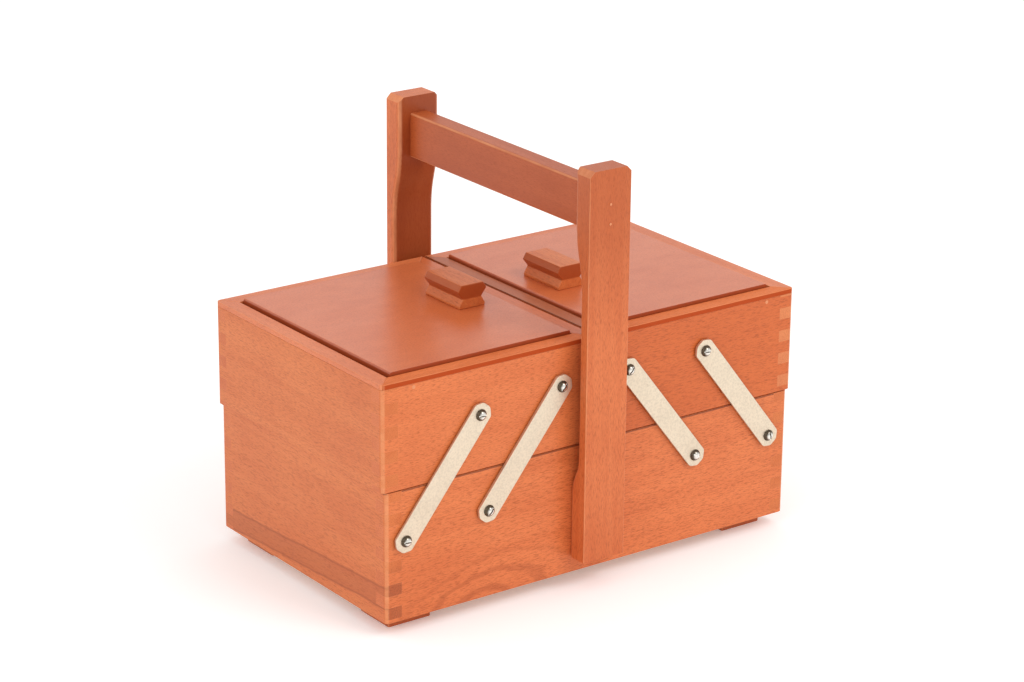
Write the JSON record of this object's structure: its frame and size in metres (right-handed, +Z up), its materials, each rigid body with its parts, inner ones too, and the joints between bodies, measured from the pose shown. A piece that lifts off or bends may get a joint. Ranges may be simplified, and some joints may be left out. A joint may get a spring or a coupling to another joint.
{
  "type": "sewing box with trays",
  "caption": "Wooden sewing box: two lidded trays swing out over a deep base on metal links, with a carrying bar between two posts.",
  "frame": {"origin": "on the floor under the middle of the box, at the height of the feet's undersides", "axes": "+X along the long side, +Y from the front to the back, +Z up"},
  "size_m": [0.2756, 0.1896, 0.237],
  "materials": {
    "side_wood": "satin",
    "end_wood": "satin",
    "lid_wood": "satin",
    "rim_wood": "satin",
    "handle_wood": "satin",
    "knob_wood": "satin",
    "panel_wood": "matte",
    "foot_wood": "satin",
    "link_metal": "satin",
    "bright_steel": "polished"
  },
  "bodies": {
    "base": {"base_front_board": "side_wood", "base_back_board": "side_wood", "base_left_board": "end_wood", "base_right_board": "end_wood", "base_bottom_panel": "panel_wood", "left_front_foot": "foot_wood", "left_back_foot": "foot_wood", "right_front_foot": "foot_wood", "right_back_foot": "foot_wood", "front_post": "handle_wood", "back_post": "handle_wood", "handle_bar": "handle_wood", "handle_bar_pins": "bright_steel", "post_screws": "bright_steel", "base_link_screws": "bright_steel", "base_link_washers": "bright_steel"},
    "left_tray": {"left_tray_front_board": "side_wood", "left_tray_back_board": "side_wood", "left_tray_outer_board": "end_wood", "left_tray_meeting_board": "end_wood", "left_tray_bottom_panel": "panel_wood", "left_rim_front": "rim_wood", "left_rim_back": "rim_wood", "left_rim_outer": "rim_wood", "left_rim_meeting": "rim_wood", "left_lid_rest": "end_wood", "left_lid_pins": "bright_steel", "left_tray_link_screws": "bright_steel", "left_tray_link_washers": "bright_steel"},
    "left_lid": {"left_lid": "lid_wood", "left_knob": "knob_wood", "left_knob_screw": "bright_steel"},
    "left_front_outer_link": {"left_front_outer_link": "link_metal"},
    "left_front_inner_link": {"left_front_inner_link": "link_metal"},
    "left_back_outer_link": {"left_back_outer_link": "link_metal"},
    "left_back_inner_link": {"left_back_inner_link": "link_metal"},
    "right_tray": {"right_tray_front_board": "side_wood", "right_tray_back_board": "side_wood", "right_tray_outer_board": "end_wood", "right_tray_meeting_board": "end_wood", "right_tray_bottom_panel": "panel_wood", "right_rim_front": "rim_wood", "right_rim_back": "rim_wood", "right_rim_outer": "rim_wood", "right_rim_meeting": "rim_wood", "right_lid_rest": "end_wood", "right_lid_pins": "bright_steel", "right_tray_link_screws": "bright_steel", "right_tray_link_washers": "bright_steel"},
    "right_lid": {"right_lid": "lid_wood", "right_knob": "knob_wood", "right_knob_screw": "bright_steel"},
    "right_front_outer_link": {"right_front_outer_link": "link_metal"},
    "right_front_inner_link": {"right_front_inner_link": "link_metal"},
    "right_back_outer_link": {"right_back_outer_link": "link_metal"},
    "right_back_inner_link": {"right_back_inner_link": "link_metal"}
  },
  "joints": [
    {"name": "left_front_outer_link_swing", "type": "hinge", "parent": "base", "child": "left_front_outer_link", "pos_m": [-0.1245, -0.0831, 0.0535], "axis": [0, -1, 0], "range_deg": [0, 76.47]},
    {"name": "left_front_inner_link_swing", "type": "hinge", "parent": "base", "child": "left_front_inner_link", "pos_m": [-0.0717, -0.0831, 0.0582], "axis": [0, -1, 0], "range_deg": [-0.5, 76.97]},
    {"name": "left_back_outer_link_swing", "type": "hinge", "parent": "base", "child": "left_back_outer_link", "pos_m": [-0.1245, 0.0831, 0.0535], "axis": [0, -1, 0], "range_deg": [-0.5, 76.97]},
    {"name": "left_back_inner_link_swing", "type": "hinge", "parent": "base", "child": "left_back_inner_link", "pos_m": [-0.0717, 0.0831, 0.0582], "axis": [0, -1, 0], "range_deg": [-0.5, 76.97]},
    {"name": "left_tray_pivot", "type": "hinge", "parent": "left_front_outer_link", "child": "left_tray", "pos_m": [-0.0773, -0.0831, 0.1134], "axis": [0, -1, 0], "range_deg": [-76.97, 0.5]},
    {"name": "left_lid_hinge", "type": "hinge", "parent": "left_tray", "child": "left_lid", "pos_m": [-0.1181, 0, 0.1369], "axis": [0, -1, 0], "range_deg": [0, 98]},
    {"name": "right_front_outer_link_swing", "type": "hinge", "parent": "base", "child": "right_front_outer_link", "pos_m": [0.1207, -0.0831, 0.0582], "axis": [0, 1, 0], "range_deg": [0, 76.47]},
    {"name": "right_front_inner_link_swing", "type": "hinge", "parent": "base", "child": "right_front_inner_link", "pos_m": [0.0679, -0.0831, 0.0582], "axis": [0, 1, 0], "range_deg": [-0.5, 76.97]},
    {"name": "right_back_outer_link_swing", "type": "hinge", "parent": "base", "child": "right_back_outer_link", "pos_m": [0.1207, 0.0831, 0.0582], "axis": [0, 1, 0], "range_deg": [-0.5, 76.97]},
    {"name": "right_back_inner_link_swing", "type": "hinge", "parent": "base", "child": "right_back_inner_link", "pos_m": [0.0679, 0.0831, 0.0582], "axis": [0, 1, 0], "range_deg": [-0.5, 76.97]},
    {"name": "right_tray_pivot", "type": "hinge", "parent": "right_front_outer_link", "child": "right_tray", "pos_m": [0.0735, -0.0831, 0.1181], "axis": [0, 1, 0], "range_deg": [-76.97, 0.5]},
    {"name": "right_lid_hinge", "type": "hinge", "parent": "right_tray", "child": "right_lid", "pos_m": [0.1181, 0, 0.1369], "axis": [0, 1, 0], "range_deg": [0, 98]}
  ],
  "couplings": [
    {"joint": "left_front_inner_link_swing", "follows": "left_front_outer_link_swing", "ratio": 1},
    {"joint": "left_back_outer_link_swing", "follows": "left_front_outer_link_swing", "ratio": 1},
    {"joint": "left_back_inner_link_swing", "follows": "left_front_outer_link_swing", "ratio": 1},
    {"joint": "left_tray_pivot", "follows": "left_front_outer_link_swing", "ratio": -1},
    {"joint": "right_front_inner_link_swing", "follows": "right_front_outer_link_swing", "ratio": 1},
    {"joint": "right_back_outer_link_swing", "follows": "right_front_outer_link_swing", "ratio": 1},
    {"joint": "right_back_inner_link_swing", "follows": "right_front_outer_link_swing", "ratio": 1},
    {"joint": "right_tray_pivot", "follows": "right_front_outer_link_swing", "ratio": -1}
  ]
}
